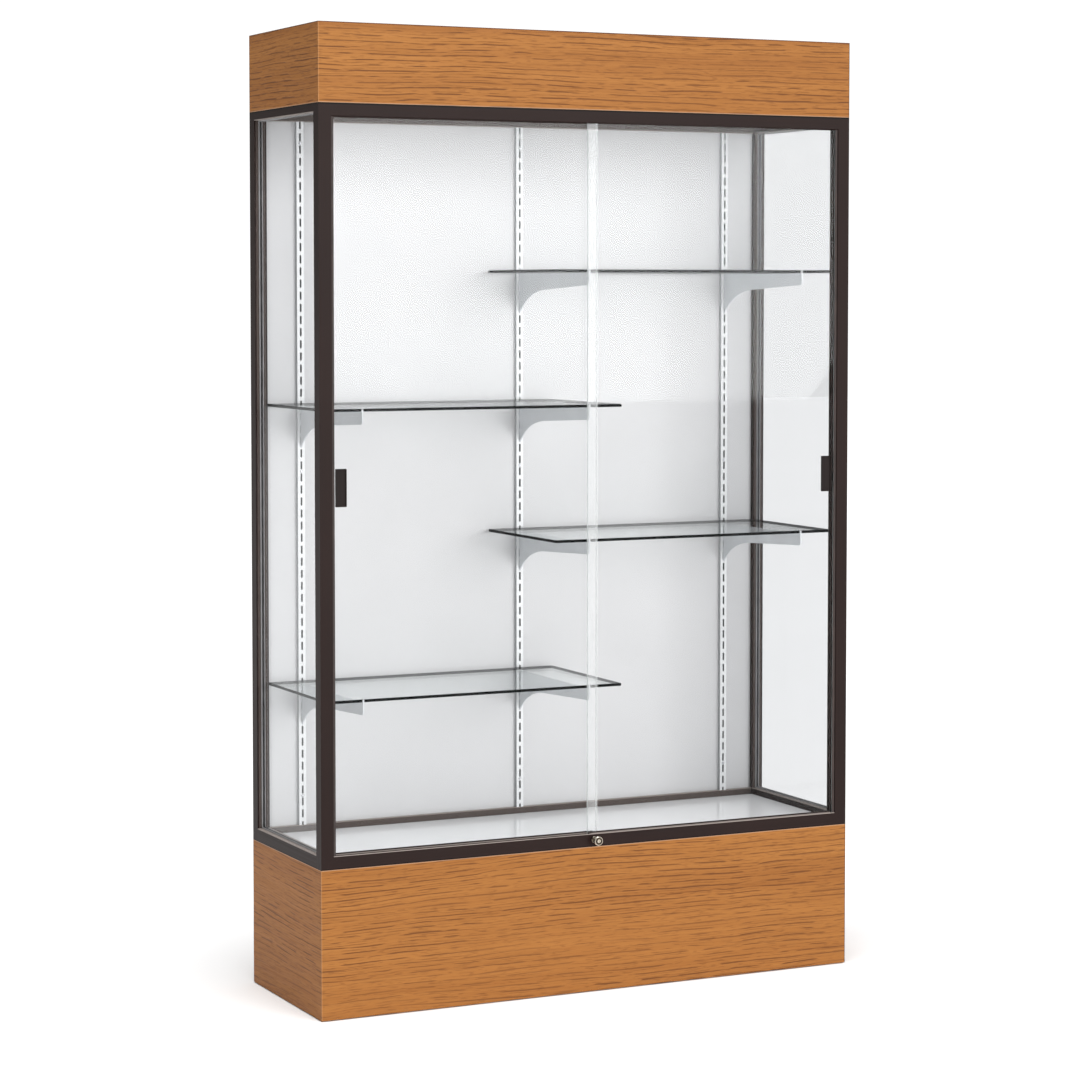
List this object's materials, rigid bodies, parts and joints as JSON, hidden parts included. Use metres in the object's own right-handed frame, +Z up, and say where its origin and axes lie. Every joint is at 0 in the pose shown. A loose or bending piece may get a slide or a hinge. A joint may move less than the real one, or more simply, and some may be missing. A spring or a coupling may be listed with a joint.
{
  "type": "floor-standing glass display case",
  "caption": "Floor-standing glass display case: wood base and header, dark metal frame, locking sliding glass doors, glass shelves on slotted standards.",
  "frame": {"origin": "middle of the case's footprint at floor level, under the levelling feet", "axes": "+X along the width to the viewer's right, +Y from the doors to the back panel, +Z up"},
  "size_m": [1.2192, 0.4088, 1.9875],
  "materials": {
    "oak_laminate": "satin",
    "raw_board": "matt",
    "white_laminate": "matt",
    "bronze_aluminium": "anodised satin",
    "clear_glass": "clear",
    "grey_vinyl": "matt",
    "dark_vinyl": "matt",
    "wheel_nylon": "matt",
    "nickel": "satin",
    "zinc_steel": "satin",
    "white_enamel": "satin",
    "grey_enamel": "satin"
  },
  "bodies": {
    "case": {"base_front_panel": "oak_laminate", "base_back_panel": "oak_laminate", "base_left_panel": "oak_laminate", "base_right_panel": "oak_laminate", "base_top_panel": "raw_board", "header_front_panel": "oak_laminate", "header_back_panel": "oak_laminate", "header_left_panel": "oak_laminate", "header_right_panel": "oak_laminate", "header_top_panel": "raw_board", "ceiling_panel": "white_laminate", "deck_panel": "white_laminate", "corner_blocks": "raw_board", "leveller_inserts": "zinc_steel", "post_front_left": "bronze_aluminium", "post_back_left": "bronze_aluminium", "post_front_right": "bronze_aluminium", "post_back_right": "bronze_aluminium", "bottom_rail_front": "bronze_aluminium", "bottom_rail_back": "bronze_aluminium", "bottom_rail_left": "bronze_aluminium", "bottom_rail_right": "bronze_aluminium", "top_rail_front": "bronze_aluminium", "top_rail_back": "bronze_aluminium", "top_rail_left": "bronze_aluminium", "top_rail_right": "bronze_aluminium", "corner_plates": "zinc_steel", "frame_screws": "zinc_steel", "end_glass_panes": "clear_glass", "end_glass_gaskets": "grey_vinyl", "back_panel": "white_laminate", "upper_door_track": "dark_vinyl", "lower_door_track": "bronze_aluminium", "door_jambs": "dark_vinyl", "lock_housing": "nickel", "lock_nut": "nickel", "shelf_standards": "white_enamel", "standard_screws": "zinc_steel", "shelf_brackets": "grey_enamel", "bracket_cushions": "grey_vinyl"},
    "left_door": {"left_door_glass": "clear_glass", "left_door_roller_shoe": "bronze_aluminium", "left_door_pull": "bronze_aluminium"},
    "left_door_inner_wheel": {"left_door_inner_wheel": "wheel_nylon"},
    "left_door_outer_wheel": {"left_door_outer_wheel": "wheel_nylon"},
    "right_door": {"right_door_glass": "clear_glass", "right_door_roller_shoe": "bronze_aluminium", "right_door_pull": "bronze_aluminium"},
    "right_door_inner_wheel": {"right_door_inner_wheel": "wheel_nylon"},
    "right_door_outer_wheel": {"right_door_outer_wheel": "wheel_nylon"},
    "lock_plunger": {"lock_plunger": "nickel"},
    "lock_plug": {"lock_plug": "nickel"},
    "left_lower_shelf": {"left_lower_shelf_glass": "clear_glass"},
    "right_lower_shelf": {"right_lower_shelf_glass": "clear_glass"},
    "left_upper_shelf": {"left_upper_shelf_glass": "clear_glass"},
    "right_upper_shelf": {"right_upper_shelf_glass": "clear_glass"},
    "leveller_front_left": {"leveller_front_left": "zinc_steel"},
    "leveller_front_right": {"leveller_front_right": "zinc_steel"},
    "leveller_back_left": {"leveller_back_left": "zinc_steel"},
    "leveller_back_right": {"leveller_back_right": "zinc_steel"}
  },
  "joints": [
    {"name": "left_door_slide", "type": "slide", "parent": "case", "child": "left_door", "axis": [1, 0, 0], "range_m": [0, 0.565]},
    {"name": "left_door_inner_wheel_spin", "type": "hinge", "parent": "left_door", "child": "left_door_inner_wheel", "pos_m": [-0.0154, -0.1752, 0.31825], "axis": [0, 1, 0], "continuous": true},
    {"name": "left_door_outer_wheel_spin", "type": "hinge", "parent": "left_door", "child": "left_door_outer_wheel", "pos_m": [-0.542, -0.1752, 0.31825], "axis": [0, 1, 0], "continuous": true},
    {"name": "right_door_slide", "type": "slide", "parent": "case", "child": "right_door", "axis": [1, 0, 0], "range_m": [-0.565, 0]},
    {"name": "right_door_inner_wheel_spin", "type": "hinge", "parent": "right_door", "child": "right_door_inner_wheel", "pos_m": [0.0154, -0.1852, 0.31825], "axis": [0, 1, 0], "continuous": true},
    {"name": "right_door_outer_wheel_spin", "type": "hinge", "parent": "right_door", "child": "right_door_outer_wheel", "pos_m": [0.542, -0.1852, 0.31825], "axis": [0, 1, 0], "continuous": true},
    {"name": "lock_plunger_slide", "type": "slide", "parent": "case", "child": "lock_plunger", "axis": [0, 1, 0], "range_m": [0, 0.0138], "stiffness_N_per_m": 300, "springref_m": -0.005},
    {"name": "lock_plug_turn", "type": "hinge", "parent": "lock_plunger", "child": "lock_plug", "pos_m": [0, -0.2147, 0.3193], "axis": [0, 1, 0], "range_deg": [0, 90]},
    {"name": "left_lower_shelf_lift", "type": "slide", "parent": "case", "child": "left_lower_shelf", "axis": [0, 0, 1], "range_m": [0, 0.05]},
    {"name": "right_lower_shelf_lift", "type": "slide", "parent": "case", "child": "right_lower_shelf", "axis": [0, 0, 1], "range_m": [0, 0.05]},
    {"name": "left_upper_shelf_lift", "type": "slide", "parent": "case", "child": "left_upper_shelf", "axis": [0, 0, 1], "range_m": [0, 0.05]},
    {"name": "right_upper_shelf_lift", "type": "slide", "parent": "case", "child": "right_upper_shelf", "axis": [0, 0, 1], "range_m": [0, 0.05]},
    {"name": "leveller_front_left_turn", "type": "hinge", "parent": "case", "child": "leveller_front_left", "pos_m": [-0.5666, -0.1507, 0], "axis": [0, 0, 1], "continuous": true},
    {"name": "leveller_front_right_turn", "type": "hinge", "parent": "case", "child": "leveller_front_right", "pos_m": [0.5666, -0.1507, 0], "axis": [0, 0, 1], "continuous": true},
    {"name": "leveller_back_left_turn", "type": "hinge", "parent": "case", "child": "leveller_back_left", "pos_m": [-0.5666, 0.1507, 0], "axis": [0, 0, 1], "continuous": true},
    {"name": "leveller_back_right_turn", "type": "hinge", "parent": "case", "child": "leveller_back_right", "pos_m": [0.5666, 0.1507, 0], "axis": [0, 0, 1], "continuous": true}
  ],
  "couplings": [
    {"joint": "left_door_inner_wheel_spin", "follows": "left_door_slide", "rad_per_m": 250},
    {"joint": "left_door_outer_wheel_spin", "follows": "left_door_slide", "rad_per_m": 250},
    {"joint": "right_door_inner_wheel_spin", "follows": "right_door_slide", "rad_per_m": 250},
    {"joint": "right_door_outer_wheel_spin", "follows": "right_door_slide", "rad_per_m": 250}
  ]
}
